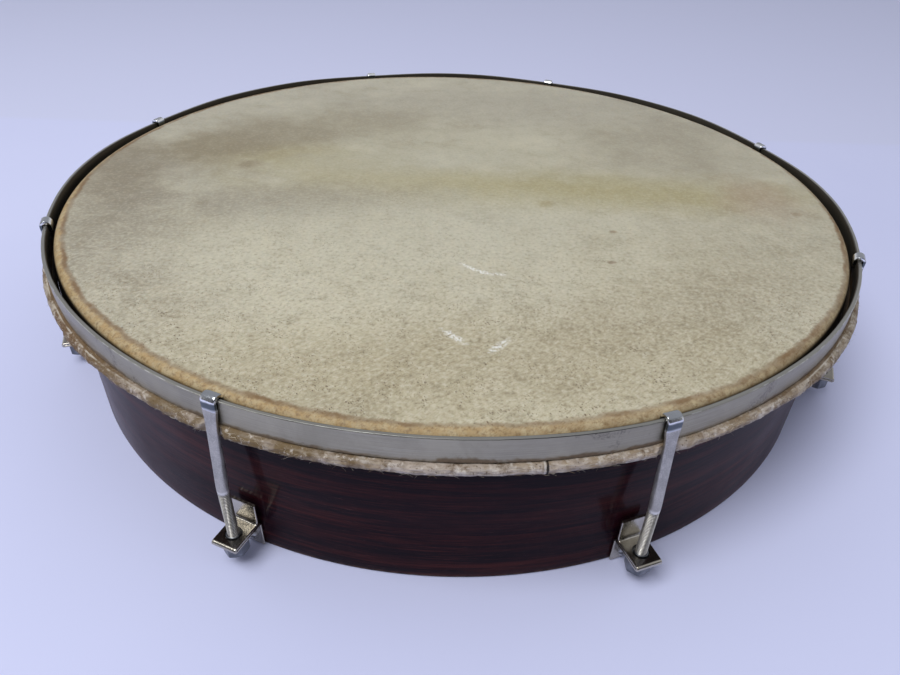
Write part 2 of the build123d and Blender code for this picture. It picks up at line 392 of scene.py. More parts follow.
def skin_paint():
    """Stretched rawhide: cream, clouded, with hair roots, stains, scuffs and an amber rim."""
    p = Paint("stretched_rawhide")
    x, y, height = p.axes(p.place)
    radius = p.radius()
    clouds = p.noise(11, 4, 0.6, 0.4)
    patches = p.noise(48, 5, 0.6, 0.3)
    mottle = p.noise(150, 4, 0.6)
    grain = p.noise(620, 3, 0.6)
    pores = p.noise(1500, 3, 0.6)
    near = y.spread(0.02, -0.15, 0.35, 1.0)

    # Warm towards the front, greyer towards the back, darker at the left
    p.colour = p.mix(y.spread(-0.17, 0.03), (0.475, 0.428, 0.292), (0.412, 0.388, 0.288))
    p.coat(
        (x, 0.03, 0.17, 0.75, (0.312, 0.284, 0.21)),
        (x, -0.03, -0.17, 0.75, (0.32, 0.3, 0.245)),
        (y, 0.03, 0.14, 0.6, (0.385, 0.36, 0.296)),
        (clouds, 0.35, 0.7, 0.45, (0.5, 0.474, 0.368)),
        (clouds, 0.5, 0.25, 0.5, (0.29, 0.258, 0.182)),
        (patches, 0.45, 0.75, 0.45, (0.53, 0.496, 0.374)),
        (patches, 0.48, 0.25, 0.45, (0.275, 0.24, 0.158)),
    )

    # Where the hide is smeared: place, half size, turn, colour and strength, in metres
    smears = (
        ((0.05, -0.008), (0.108, 0.019), 0.04, (0.345, 0.302, 0.15), 0.85),
        ((-0.085, 0.022), (0.055, 0.02), -0.15, (0.32, 0.272, 0.125), 0.75),
        ((-0.16, -0.012), (0.022, 0.05), 0.25, (0.2, 0.168, 0.118), 0.8),
        ((-0.118, 0.04), (0.045, 0.026), 0.6, (0.215, 0.18, 0.118), 0.85),
        ((-0.06, 0.075), (0.06, 0.028), 0.35, (0.28, 0.248, 0.172), 0.65),
        ((-0.075, -0.03), (0.06, 0.016), 0.15, (0.235, 0.21, 0.162), 0.6),
        ((0.03, 0.12), (0.09, 0.03), 0.0, (0.335, 0.31, 0.246), 0.6),
        ((0.148, -0.009), (0.016, 0.02), 0.0, (0.33, 0.248, 0.178), 0.55),
        ((0.12, 0.06), (0.05, 0.04), 0.4, (0.32, 0.292, 0.222), 0.5),
        ((-0.125, -0.085), (0.03, 0.045), 0.7, (0.275, 0.25, 0.195), 0.55),
        ((-0.01, -0.06), (0.075, 0.042), 0.2, (0.488, 0.47, 0.374), 0.6),
        ((-0.07, -0.1), (0.048, 0.024), -0.5, (0.535, 0.51, 0.395), 0.65),
        ((-0.045, 0.02), (0.05, 0.016), 0.1, (0.435, 0.42, 0.335), 0.5),
        ((0.085, -0.11), (0.055, 0.022), 0.55, (0.325, 0.285, 0.195), 0.5),
        ((0.02, -0.145), (0.08, 0.02), 0.1, (0.35, 0.3, 0.188), 0.5),
    )
    for place, size, turn, tint, share in smears:
        cover = p.blob(place, size, turn, soft=0.75, ragged=1.7, ragged_scale=38.0)
        p.coat((cover, share, tint))

    # Small stains
    stains = (
        ((0.043, -0.024), 0.004, (0.29, 0.235, 0.105), 0.5),
        ((0.07, -0.05), 0.0016, (0.19, 0.125, 0.062), 0.6),
        ((0.065, -0.077), 0.0016, (0.16, 0.096, 0.048), 0.65),
        ((0.16, -0.025), 0.0024, (0.215, 0.15, 0.08), 0.6),
        ((-0.104, 0.01), 0.006, (0.19, 0.145, 0.092), 0.45),
    )
    for place, size, tint, share in stains:
        cover = p.blob(place, (size, size * 0.8), 0.4, soft=0.6, ragged=1.2, ragged_scale=400.0)
        p.coat((cover, share, tint))

    # Fine mottling of the grain layer, clearest at the front
    p.coat(
        (mottle, 0.44, 0.72, near * 0.3, (0.58, 0.536, 0.405)),
        (mottle, 0.5, 0.28, near * 0.34, (0.236, 0.198, 0.124)),
        (grain, 0.46, 0.7, near * 0.46, (0.64, 0.6, 0.475)),
        (grain, 0.48, 0.28, near * 0.54, (0.18, 0.142, 0.084)),
    )

    # Fur-like strokes, clearest at the left and the front
    drift = p.node("TexNoise", {"Vector": p.place, "Scale": 14.0, "Detail": 2.0}, "Color")
    swirl = p.node("VectorMath", {0: drift, "Scale": 0.012}, operation="SCALE")
    swept = p.node("VectorMath", {0: p.place, 1: swirl}, operation="ADD")
    strokes = p.noise(1.0, 2, 0.5, at=p.strands(swept, 0.8, 2.2 * MM, 0.42 * MM))
    furry = x.spread(0.03, -0.07, 0.0, 0.4) + y.spread(-0.06, -0.13)
    furry = p.maths("MULTIPLY", furry + 0.1, near, clamp=True)
    p.coat(
        (strokes, 0.53, 0.68, furry * 0.2, (0.6, 0.565, 0.455)),
        (strokes, 0.48, 0.33, furry * 0.26, (0.2, 0.158, 0.098)),
    )

    # Hair roots: fine dark dashes in two sizes, thick at the front and faint elsewhere
    where = y.spread(-0.04, -0.15) + p.noise(26, 4).spread(0.46, 0.66, 0.0, 0.5)
    root_size = p.noise(110, 3).spread(0.3, 0.72, 0.05, 0.3)
    coarse = p.cells(p.strands(swept, -0.95, 2.0 * MM, 0.95 * MM))
    fine = p.cells(p.strands(swept, -0.8, 1.1 * MM, 0.58 * MM))
    dashes = p.maths("LESS_THAN", coarse, root_size * 0.78) * p.maths("MULTIPLY", where, 0.66, clamp=True)
    fine_dashes = p.maths("LESS_THAN", fine, root_size) * p.maths("MULTIPLY", where, 0.4, clamp=True)
    p.coat((fine_dashes, 1.0, (0.15, 0.104, 0.056)), (dashes, 1.0, (0.095, 0.06, 0.031)))

    # The amber rim, where the hide bends over the wood
    ragged_edge = radius + p.wobble(0.0042, 110, 5, 0.7) + p.wobble(0.0036, 14, 3)
    ragged_edge = ragged_edge + x.spread(0.06, 0.14, -0.0006, -0.0018)
    rim = ragged_edge.spread(0.1752, 0.177)
    # The amber is painted lighter towards the front left: painted light
    lit_side = x.spread(0.1, -0.04) * y.spread(0.02, -0.06)
    amber = p.coated(
        p.mix(lit_side, (0.3, 0.218, 0.122), (0.415, 0.278, 0.118)),
        (p.noise(210, 5, 0.7), 0.4, 0.62, 0.75, (0.5, 0.41, 0.25)),
        (p.noise(620, 4, 0.7), 0.52, 0.34, 0.7, (0.205, 0.122, 0.05)),
    )
    stain_line = ragged_edge.spread(0.174, 0.1754) * ragged_edge.spread(0.1772, 0.1758)
    p.coat(
        (rim, 0.85, amber),
        (strokes, 0.47, 0.33, rim * 0.35, (0.205, 0.125, 0.045)),
        (stain_line, p.noise(60, 4).spread(0.34, 0.66, 0.35, 0.9), (0.178, 0.1, 0.04)),
        # Painted shade: darker where the hide turns down past the bearing edge, near black below the counter
        # hoop's edge
        (radius, 0.179, 0.1799, 0.75, (0.14, 0.092, 0.045)),
        (height, 0.0698, 0.0684, 1.0, (0.012, 0.009, 0.006)),
    )

    # White scuffs: short ragged strokes
    scuffs = (
        ((0.0125, -0.0885), (0.0012, 0.004), 1.15),
        ((0.007, -0.085), (0.001, 0.0042), 0.9),
        ((0.019, -0.0898), (0.0008, 0.0024), 1.35),
        ((0.0015, -0.132), (0.0014, 0.005), 0.8),
        ((0.017, -0.1365), (0.0014, 0.0048), -0.75),
    )
    scuff_noise = p.noise(900, 4, 0.7).spread(0.44, 0.56)
    for place, size, turn in scuffs:
        cover = p.blob(place, size, turn, soft=0.5, ragged=1.8, ragged_scale=420.0)
        p.coat((cover * scuff_noise, 0.85, (0.76, 0.76, 0.72)))

    return p.finished(
        (patches, 0.0002), (grain, 0.00006), (strokes, 0.00003), (pores, 0.00002), (dashes, 0.00004),
        Roughness=grain.spread(0.3, 0.7, 0.5, 0.66, "LINEAR"), Specular_IOR_Level=0.28,
        Subsurface_Weight=0.08, Subsurface_Scale=0.001, Subsurface_Radius=(1.0, 0.55, 0.25),
    )


def lap_paint():
    """The edge of the hide rolled round the flesh hoop: fibrous, white, tan and brown."""
    p = Paint("rolled_rawhide")
    x, y, height = p.axes(p.place)
    radius = p.radius()
    blotches = p.noise(62, 5, 0.65, 0.4)
    broad = p.noise(24, 4, 0.6, 0.3)
    flakes = p.cells(p.moved((260, 260, 620)))
    fibres = p.streaks((300, 300, 2200), 5, 0.7)
    flecks = p.noise(1100, 4, 0.7)

    # Whitish and speckled at the front, tan and brown round the sides
    front = y.spread(-0.12, -0.17)
    pale = p.mix(front, (0.4, 0.345, 0.27), (0.45, 0.385, 0.33))
    tan = p.mix(front, (0.15, 0.098, 0.05), (0.33, 0.255, 0.175))
    p.colour = p.mix(blotches.spread(0.42, 0.56), tan, pale)
    p.coat(
        (broad, 0.52, 0.6, y.spread(-0.165, -0.13) * 0.85, (0.135, 0.072, 0.03)),
        (p.noise(190, 5, 0.7), 0.52, 0.64, 0.9, (0.62, 0.57, 0.51)),
        (p.noise(130, 5, 0.7), 0.48, 0.34, 0.85, (0.135, 0.084, 0.042)),
        (flakes, 0.5, 0.1, 0.4, (0.11, 0.076, 0.044)),
        (fibres, 0.52, 0.7, 0.6, (0.6, 0.56, 0.5)),
        (fibres, 0.47, 0.3, 0.5, (0.125, 0.082, 0.045)),
        (flecks, 0.58, 0.67, 0.85, (0.07, 0.04, 0.022)),
    )

    # Left of the middle the front is tan, streaked with white
    tan_front = front * x.spread(-0.008, -0.045) * blotches.spread(0.68, 0.44)
    p.coat(
        (tan_front, 0.85, (0.14, 0.092, 0.036)),
        (p.streaks((420, 420, 160), 4, 0.7), 0.56, 0.66, front * 0.8, (0.6, 0.55, 0.49)),
    )

    # The slit at the front is painted dark, as painted shade, with a pale lip on its left
    beside_slit = y * math.cos(SLIT_ANGLE) - x * math.sin(SLIT_ANGLE)
    slit = front * height.spread(0.0582, 0.059) * 0.95
    p.coat(
        (abs(beside_slit + 0.00085), 0.00045, 0.0002, front * 0.7, (0.64, 0.6, 0.54)),
        (abs(beside_slit), 0.0005, 0.00026, slit, (0.012, 0.009, 0.007)),
    )

    # At the sides a pale ridge follows the cut edge on top; inside it the tucked hide is brown
    to_side = y.spread(-0.168, -0.135, 0.15, 1.0)
    from_ridge = radius + p.wobble(0.0012, 60, 3) - RIDGE_RADIUS
    tucked = height.spread(0.0609, 0.0617) * from_ridge.spread(0.0, -0.0004)
    ridge = abs(from_ridge).spread(0.00034, 0.00016) * height.spread(0.0606, 0.0612)
    ridge = ridge * p.noise(85, 4, 0.7).spread(0.46, 0.6)
    p.coat(
        (tucked, to_side * 0.8, (0.15, 0.094, 0.046)),
        (ridge, to_side * 0.75, (0.56, 0.52, 0.45)),
        # Painted shade: darker along the roll's underside, near black on its inner side against the shell
        (height, 0.0595, 0.0584, 0.5, (0.12, 0.082, 0.048)),
        (radius, 0.1824, 0.1816, 1.0, (0.012, 0.009, 0.006)),
    )
    return p.finished(
        (flakes, 0.0002), (fibres, 0.00018), (flecks, 0.00008),
        Roughness=flecks.spread(0.3, 0.7, 0.5, 0.75, "LINEAR"), Specular_IOR_Level=0.3,
    )


def fibre_paint():
    p = Paint("loose_hide_fibres")
    tone = p.noise(300, 3)
    p.colour = p.mix(tone.spread(0.4, 0.6), (0.26, 0.18, 0.1), (0.62, 0.56, 0.45))
    return p.finished(Roughness=tone.spread(0.3, 0.7, 0.5, 0.7, "LINEAR"))


def lacquer_paint():
    """Dark stained wood under clear lacquer, its grain running round the drum."""
    p = Paint("dark_lacquered_wood")
    x, _, height = p.axes(p.place)
    fine_streaks = p.streaks((75, 75, 1500), 5, 0.7, 0.1)
    pores = p.streaks((220, 220, 3400), 3, 0.6)
    p.colour = p.ramp(
        p.streaks((9, 9, 230), 6, 0.62, 0.25),
        (0.3, (0.0046, 0.0018, 0.0048)),
        (0.46, (0.0105, 0.0032, 0.0066)),
        (0.56, (0.031, 0.0066, 0.0082)),
        (0.68, (0.06, 0.013, 0.012)),
    )
    p.coat(
        # Painted sheen: lighter and redder towards the left and right sides, where the lacquer is seen at a
        # slant
        (abs(x), 0.06, 0.15, 0.3, (0.062, 0.015, 0.017)),
        (fine_streaks, 0.5, 0.68, 0.55, (0.062, 0.015, 0.014)),
        (fine_streaks, 0.48, 0.28, 0.7, (0.0034, 0.0012, 0.0032)),
        (pores, 0.64, 0.72, 0.6, (0.0018, 0.0008, 0.0016)),
        (pores, 0.36, 0.28, 0.5, (0.09, 0.042, 0.038)),
        (p.noise(14, 3), 0.42, 0.65, 0.4, (0.0066, 0.0022, 0.007)),
        (height, 0.0022, 0.0004, p.noise(260, 4).spread(0.4, 0.62) * 0.7, (0.12, 0.06, 0.04)),
    )
    return p.finished(
        (p.noise(22, 3), 0.0004), (fine_streaks, 0.00004),
        Roughness=p.noise(30, 5, 0.6).spread(0.35, 0.7, 0.34, 0.48, "LINEAR"), Specular_IOR_Level=0.02,
        Coat_Weight=0.25, Coat_Roughness=0.1, Coat_IOR=1.29,
    )


def bare_wood_paint():
    """The flesh hoop's plain wood, dark with age, with long grain."""
    p = Paint("bare_hoop_wood")
    grain = p.streaks((40, 40, 1400), 5, 0.65, 0.2)
    tones = (0.35, (0.02, 0.013, 0.008)), (0.55, (0.04, 0.027, 0.016)), (0.7, (0.06, 0.042, 0.026))
    p.colour = p.ramp(grain, *tones)
    return p.finished((grain, 0.0001), Roughness=grain.spread(0.3, 0.7, 0.6, 0.75, "LINEAR"))


def hoop_paint():
    """Satin nickel on a rolled steel hoop, scratched round the hoop, rusty along its lower edge."""
    p = Paint("worn_nickel_hoop")
    x, y, _ = p.axes(p.place)
    radius = p.radius()
    level = p.kept("level")
    _, _, facing_up = p.axes(p.facing)
    lines = p.streaks((28, 28, 5200), 4, 0.6)
    fine_lines = p.streaks((160, 160, 16000), 3, 0.5)
    smudges = p.noise(42, 5, 0.65, 0.5)
    specks = p.noise(1300, 4, 0.75)

    p.colour = p.mix(smudges.spread(0.35, 0.68), (0.325, 0.302, 0.226), (0.428, 0.398, 0.302))
    p.coat(
        (p.noise(9, 3), 0.35, 0.65, 0.5, (0.312, 0.29, 0.235)),
        (lines, 0.54, 0.7, 0.55, (0.205, 0.192, 0.165)),
        (lines, 0.46, 0.32, 0.35, (0.52, 0.492, 0.42)),
        (p.noise(75, 5, 0.7, 0.6), 0.56, 0.66, specks.spread(0.42, 0.6) * 0.65, (0.11, 0.095, 0.08)),
        (specks, 0.66, 0.74, 0.8, (0.085, 0.065, 0.05)),
    )

    # Painted reflections: the top face is painted darker; its rounded outer edge is painted dark at the front
    # and bright in dashes elsewhere, as painted highlights along a rubbed edge
    edge_reflection = facing_up.spread(0.3, 0.6) * facing_up.spread(0.97, 0.8)
    edge_reflection = edge_reflection * radius.spread(HOOP_RADIUS - 0.6 * MM, HOOP_RADIUS - 0.4 * MM)
    dashes = (p.noise(300, 4, 0.7) + p.wobble(0.8, 17, 3)).spread(0.4, 0.62)
    at_front = abs(x).spread(0.085, 0.045)
    # The inner face is painted near black, as painted shade, and made less metallic
    inner_edge = HOOP_RADIUS - HOOP_THICKNESS
    shaded_inner_face = radius.spread(inner_edge + 0.4 * MM, inner_edge + 0.18 * MM)
    rust = p.noise(26, 5, 0.7, 0.5) + level.spread(3.2 * MM, 0.4 * MM) * 0.2 + y.spread(-0.16, -0.11) * 0.1
    rust = rust.spread(0.6, 0.72) * level.spread(5.0 * MM, 1.0 * MM)
    p.coat(
        (facing_up, 0.55, 0.85, 0.8, (0.3, 0.3, 0.285)),
        (edge_reflection, at_front * 0.85, (0.045, 0.048, 0.052)),
        (edge_reflection, dashes * (1.0 - at_front) * 0.9, (0.7, 0.7, 0.67)),
        (shaded_inner_face, 0.92, (0.016, 0.013, 0.01)),
        (rust, 0.8, p.mix(p.noise(700, 4), (0.055, 0.03, 0.014), (0.21, 0.125, 0.05))),
    )
    return p.finished(
        (lines, 0.00004), (fine_lines, 0.000015), (specks, 0.00002), (rust, 0.00006),
        Metallic=(rust + shaded_inner_face).spread(0.0, 1.0, 1.0, 0.25, "LINEAR"),
        Roughness=smudges.spread(0.3, 0.7, 0.3, 0.44, "LINEAR") + rust * 0.35,
    )


def hook_paint():
    """Chromed crown with painted reflections, flattened satin shank and a thread with painted shade in its
    roots.
    """
    p = Paint("chromed_tension_hook")
    height = p.kept("level")
    crest = p.kept("crest")
    scratches = p.streaks((3800, 3800, 240), 4, 0.6)
    clouds = p.noise(130, 5, 0.65)
    specks = p.noise(1500, 4, 0.75)
    frost = p.noise(2600, 3, 0.6)
    ragged_height = height + p.wobble(0.0008, 420, 3)
    crown = ragged_height.spread(0.0684, 0.069)
    thread = height.spread(THREAD_TOP + 1.2 * MM, THREAD_TOP)

    shank = p.coated(
        p.mix(clouds.spread(0.38, 0.66), (0.375, 0.362, 0.332), (0.53, 0.512, 0.472)),
        (scratches, 0.54, 0.7, 0.45, (0.27, 0.26, 0.24)),
        (frost, 0.5, 0.66, 0.4, (0.76, 0.74, 0.7)),
        (specks, 0.68, 0.75, 0.8, (0.07, 0.055, 0.045)),
    )
    # On the crown a dark band, a bright glint line above it and a grey top are painted reflections and a
    # painted highlight
    chrome_with_reflections = p.coated(
        p.mix(clouds.spread(0.4, 0.7), (0.56, 0.57, 0.58), (0.68, 0.69, 0.69)),
        (ragged_height, 0.0688, 0.07, ragged_height.spread(0.0723, 0.0715) * 0.9, (0.05, 0.07, 0.084)),
        (ragged_height, 0.072, 0.0722, ragged_height.spread(0.073, 0.0727) * 0.9, (0.93, 0.94, 0.94)),
        (ragged_height, 0.073, 0.0733, 0.8, (0.29, 0.31, 0.34)),
        (specks, 0.67, 0.75, 0.8, (0.11, 0.095, 0.085)),
    )
    p.colour = p.mix(crown, shank, chrome_with_reflections)

    # The thread's roots are painted near black, as painted shade, and its crests are rubbed bright
    shaded_root = thread * crest.spread(0.72, 0.34)
    p.coat((shaded_root, 0.97, (0.022, 0.02, 0.018)), (crest, 0.74, 0.92, thread * 0.8, (0.86, 0.84, 0.79)))
    satin = clouds.spread(0.3, 0.7, 0.4, 0.54, "LINEAR")
    bright = clouds.spread(0.3, 0.7, 0.08, 0.17, "LINEAR")
    return p.finished(
        (scratches, 0.00002), (clouds, 0.00006), (specks, 0.00002), (frost, 0.00001),
        Metallic=1.0, Roughness=satin * (1.0 - crown) + bright * crown + shaded_root * 0.2,
    )


def bracket_paint():
    """Bright nickel plate over folded steel, spotted and a little yellowed."""
    p = Paint("nickel_plated_bracket")
    _, _, height = p.axes(p.place)
    clouds = p.noise(90, 5, 0.65, 0.4)
    lines = p.streaks((900, 900, 900), 4, 0.6, turn=0.4)
    specks = p.noise(1100, 4, 0.75)
    p.colour = p.mix(clouds.spread(0.36, 0.66), (0.41, 0.38, 0.325), (0.6, 0.57, 0.505))
    # The tab's torn edge is dull, and grime lies on the plate between the fold and the hole
    radius = p.radius()
    _, _, facing_up = p.axes(p.facing)
    fold = SHELL_RADIUS + PLATE_REACH
    grime = facing_up.spread(0.7, 0.95) * (radius + clouds * 0.004).spread(0.185, 0.1885)
    grime = grime * radius.spread(fold - 0.6 * MM, fold - 1.1 * MM)
    p.coat(
        (p.noise(240, 4, 0.7), 0.56, 0.7, 0.55, (0.3, 0.245, 0.18)),
        (specks, 0.66, 0.74, 0.85, (0.075, 0.05, 0.035)),
        (height + p.wobble(0.001, 500, 3), TAB_TOP - 0.8 * MM, TAB_TOP - 0.3 * MM, 0.5, (0.24, 0.215, 0.18)),
        (grime, 0.65, (0.13, 0.122, 0.108)),
    )
    return p.finished(
        (clouds, 0.0001), (lines, 0.00002), (specks, 0.00003),
        Metallic=1.0, Roughness=clouds.spread(0.3, 0.7, 0.15, 0.3, "LINEAR"),
    )


def zinc_paint(name, light, dark):
    """Zinc plate with a faint bloom, greyer in patches."""
    p = Paint(name)
    bloom = p.noise(260, 5, 0.65)
    lines = p.streaks((500, 500, 4200), 4, 0.6)
    specks = p.noise(1500, 4, 0.75)
    p.colour = p.mix(bloom.spread(0.36, 0.66), dark, light)
    p.coat(
        (lines, 0.56, 0.72, 0.35, (0.27, 0.275, 0.29)),
        (specks, 0.67, 0.75, 0.8, (0.09, 0.08, 0.07)),
    )
    return p.finished(
        (bloom, 0.00005), (lines, 0.00002), (specks, 0.00002),
        Metallic=1.0, Roughness=bloom.spread(0.3, 0.7, 0.26, 0.42, "LINEAR"),
    )


def floor_paint():
    """Pale paper: the floor, and beyond a soft fold a slightly dimmer stretch of it."""
    p = Paint("pale_floor")
    x, y, _ = p.axes(p.place)
    p.colour = p.mix(p.noise(3.0, 3).spread(0.3, 0.7), (0.6, 0.632, 0.88), (0.63, 0.662, 0.905))
    p.coat((y - x * 0.02, 0.262, 0.275, 1.0, (0.622, 0.65, 0.862)))
    return p.finished(Roughness=0.75, Specular_IOR_Level=0.2)


# ---- the head

def bent_disc(radius, half_count):
    """A square grid bent into a flat disc: its x, y points, its faces and the order of its rim."""
    count = np.arange(-half_count, half_count + 1)
    i, j = np.meshgrid(count, count, indexing="ij")
    wide = abs(i) >= abs(j)
    main = np.where(wide, i, j).astype(float)
    side = np.where(wide, j, i)
    turn = np.divide(side, main, out=np.zeros_like(main), where=main != 0) * math.pi / 4
    reach = main / half_count * radius
    x = reach * np.where(wide, np.cos(turn), np.sin(turn))
    y = reach * np.where(wide, np.sin(turn), np.cos(turn))
    size = 2 * half_count + 1
    index = np.arange(size * size).reshape(size, size)
    rim = np.concatenate([index[-1, :-1], index[:0:-1, -1], index[0, :0:-1], index[:-1, 0]])
    return np.stack([x.ravel(), y.ravel()], -1), quads_of(size, size, False, False), rim


def make_skin_head(material):
    """One sheet of hide: flat over the shell, over its bearing edge and down to the flesh hoop."""
    flat_radius = 168 * MM
    half_count = 90
    random = np.random.default_rng(3)
    thickness = SKIN_TOP - SKIN_UNDER
    bend_centre = SHELL_TOP_RADIUS - BEARING_ROUND
    bend_height = SKIN_TOP - thickness - BEARING_ROUND
    outer_bend = BEARING_ROUND + thickness
    flare = LAP_RADIUS - LAP_HALF_WIDTH + 0.06 * MM - SHELL_TOP_RADIUS - thickness
    knee = 65.4 * MM
    foot = 60.2 * MM

    turn = np.radians(np.linspace(90, 0, 13))
    outer = [(r * MM, SKIN_TOP) for r in (169.5, 171, 172.6, 174.2, 175.4)]
    outer += [(bend_centre + outer_bend * math.cos(t), bend_height + outer_bend * math.sin(t)) for t in turn]
    outer += [(SHELL_TOP_RADIUS + thickness, z) for z in (66.9 * MM, 66.1 * MM, knee)]
    drop = (0.2, 0.4, 0.6, 0.8, 1.0)
    outer += [(SHELL_TOP_RADIUS + thickness + flare * t, knee + (foot - knee) * t) for t in drop]
    inner = [(SHELL_TOP_RADIUS + flare * t + 0.03 * MM, knee + (foot - knee) * t) for t in (1.0, 0.6, 0.2)]
    inner += [(SHELL_TOP_RADIUS + 0.03 * MM, z * MM) for z in (65.6, 66.6)]
    inner_bend = BEARING_ROUND + 0.02 * MM
    for t in turn[::-3]:
        inner.append((bend_centre + inner_bend * math.cos(t), bend_height + inner_bend * math.sin(t)))
    inner += [(r * MM, SKIN_UNDER) for r in (174.5, 171)]

    plan, disc_faces, rim = bent_disc(flat_radius, half_count)
    segments = len(rim)
    angle = ring_angles(segments) - math.pi / 4
    rows = []
    puckers = waves(angle, random, 90, 170, 0.1 * MM) + waves(angle, random, 8, 40, 0.1 * MM)
    for place, (radius, height) in enumerate(outer + inner):
        slack = min(max((bend_height - height) / (5 * MM), 0.0), 1.0) if place < len(outer) else 0.0
        reach = radius + slack * (abs(puckers) + 0.02 * MM)
        rows.append(polar(reach, angle, height))
    ring = np.array(rows).reshape(-1, 3)

    disc_count = len(plan)
    top = np.column_stack([plan, np.full(disc_count, SKIN_TOP)])
    under = np.column_stack([plan, np.full(disc_count, SKIN_UNDER)])
    order = [rim] + [disc_count + segments * row + np.arange(segments) for row in range(len(rows))]
    order.append(disc_count + len(ring) + rim)
    order = np.array(order)
    across = np.roll(order, -1, 1)
    strip = np.stack([order[:-1], order[1:], across[1:], across[:-1]], -1).reshape(-1, 4)
    faces = np.concatenate([disc_faces, strip, disc_faces[:, ::-1] + disc_count + len(ring)])
    points = np.concatenate([top, ring, under])

    # The hide is not quite flat: it dips and swells by a few hundredths of a millimetre
    reach = np.hypot(points[:, 0], points[:, 1])
    level = np.clip((points[:, 2] - bend_height) / outer_bend, 0, 1)
    fade = np.clip((bend_centre - reach) / (8 * MM), 0, 1)
    points[:, 2] += 0.06 * MM * level * fade * lumps(points * (1, 1, 0), 26 * MM, 4)

    piece = mesh_piece("skin_head", points, faces, material)
    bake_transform(piece)
    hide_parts("drumhead", "head_collar")
    return piece


LAP_SEGMENTS = 2000
LAP_SECTION = np.radians(np.linspace(-172, 124, 70))
LAP_WALL = 0.5 * MM
SEAM_ANGLE = math.radians(-137.3)
SLIT_ANGLE = math.radians(-80.6)


def lap_surface():
    """The outer surface of the rolled hide, as a grid of segments by section points."""
    random = np.random.default_rng(11)
    angle = ring_angles(LAP_SEGMENTS)
    a, t = np.meshgrid(angle, LAP_SECTION, indexing="ij")
    arc = t * LAP_HALF_WIDTH
    round_drum = polar(LAP_RADIUS, a, arc)

    swell = waves(angle, random, 3, 60, 0.07 * MM)[:, None]
    rolls = lumps(round_drum, 6 * MM, 1) * 0.26 * MM + lumps(round_drum * (1, 1, 0.5), 1.7 * MM, 6) * 0.16 * MM
    wrinkles = lumps(round_drum * (1, 1, 2.6), 2.4 * MM, 2) * 0.2 * MM
    fibres = lumps(round_drum * (1, 1, 7), 2.4 * MM, 3) * 0.12 * MM
    grit = lumps(round_drum, 0.7 * MM, 5) * 0.06 * MM
    bump = swell + rolls + wrinkles + fibres + grit

    # The cut edge of the hide lies along the top: the fold outside it stands a little proud
    ragged = waves(angle, random, 5, 60, 0.1) + waves(angle, random, 120, 420, 0.07)
    edge = (math.radians(56) + ragged)[:, None]
    outside_edge = np.clip((edge - t) / math.radians(5), 0, 1)
    to_side = np.clip((np.sin(a) + 0.97) / 0.25, 0.15, 1)
    bump = bump + 0.28 * MM * to_side * outside_edge * np.clip((t + 1.4) / 1.4, 0, 1)

    # One end of the hide laps over the other, and curls up at its edge
    past_seam = arc_from(a, SEAM_ANGLE) * LAP_RADIUS + 1.5 * MM * np.sin(t * 2.3)
    step = np.clip(past_seam / (0.4 * MM), 0, 1) * np.clip(1 - past_seam / (30 * MM), 0, 1)
    curl = hump(past_seam - 0.9 * MM, 0.8 * MM)
    bump = bump + 0.45 * MM * step + 0.28 * MM * curl - 0.25 * MM * hump(past_seam + 0.25 * MM, 0.35 * MM)

    # A small slit at the front
    beside_slit = arc_from(a, SLIT_ANGLE) * LAP_RADIUS
    slit = hump(beside_slit + 0.2 * MM * np.sin(t * 3), 0.42 * MM) * np.exp(-((t - 0.1) / 0.7) ** 4)
    bump = bump - 0.6 * MM * slit

    # It follows the counter hoop, and nothing of it crosses the hide that stands inside it
    dip = hoop_lift(angle)[:, None] * 0.6
    loose = 1.25 * hump(a - math.radians(322), math.radians(13))
    loose += 0.35 * hump(a - math.radians(215), math.radians(30))
    bump = bump + loose * MM * np.clip(1.2 - abs(t + 0.35) / 1.1, 0, 1)
    outward = np.clip(np.cos(t) * 2 + 1, 0, 1)
    radius = LAP_RADIUS + (LAP_HALF_WIDTH - 0.2 * MM + bump * outward) * np.cos(t)
    height = LAP_HEIGHT + dip + (LAP_HALF_HEIGHT - 0.1 * MM + bump * 0.75) * np.sin(t)

    # The counter hoop presses it flat
    under_hoop = np.clip((HOOP_RADIUS + 0.9 * MM - radius) / (0.9 * MM), 0, 1)
    lid = HOOP_LOW + hoop_lift(angle)[:, None] - 0.03 * MM + (1 - under_hoop) * 1.2 * MM
    height = np.minimum(height, lid)

    # It is pressed in behind each hook, and bulges on both sides of it
    beside = from_station(angle)[:, None]
    free = np.clip((beside - 2.45 * MM) / (3.2 * MM), 0, 1)
    free = free * free * (3 - 2 * free)
    limit = HOOK_POCKET_RADIUS - 0.05 * MM + free * 2.6 * MM
    bulge = 0.18 * MM * hump(beside - 6.2 * MM, 2.2 * MM) * np.clip(np.cos(t), 0, 1)
    radius = np.minimum(radius + bulge, limit)
    return polar(radius, a, height)


def make_skin_lap(material, surface):
    """The hide's edge rolled round the flesh hoop, open inside at the top where it was tucked in."""
    angle = ring_angles(LAP_SEGMENTS)[:, None]
    back = LAP_SECTION[::-3]
    inside_radius = LAP_RADIUS + (LAP_HALF_WIDTH - LAP_WALL) * np.cos(back)
    inside_radius = np.minimum(inside_radius, HOOK_POCKET_RADIUS - 0.18 * MM)
    inside_height = LAP_HEIGHT + (LAP_HALF_HEIGHT - LAP_WALL) * np.sin(back)
    grid = np.concatenate([surface, polar(inside_radius, angle, inside_height)], 1)
    piece = grid_piece("skin_lap", grid, material, close_rows=True, sharp_angle=math.radians(60))
    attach(piece, "hoop")
    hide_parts("head_lap")
    return piece


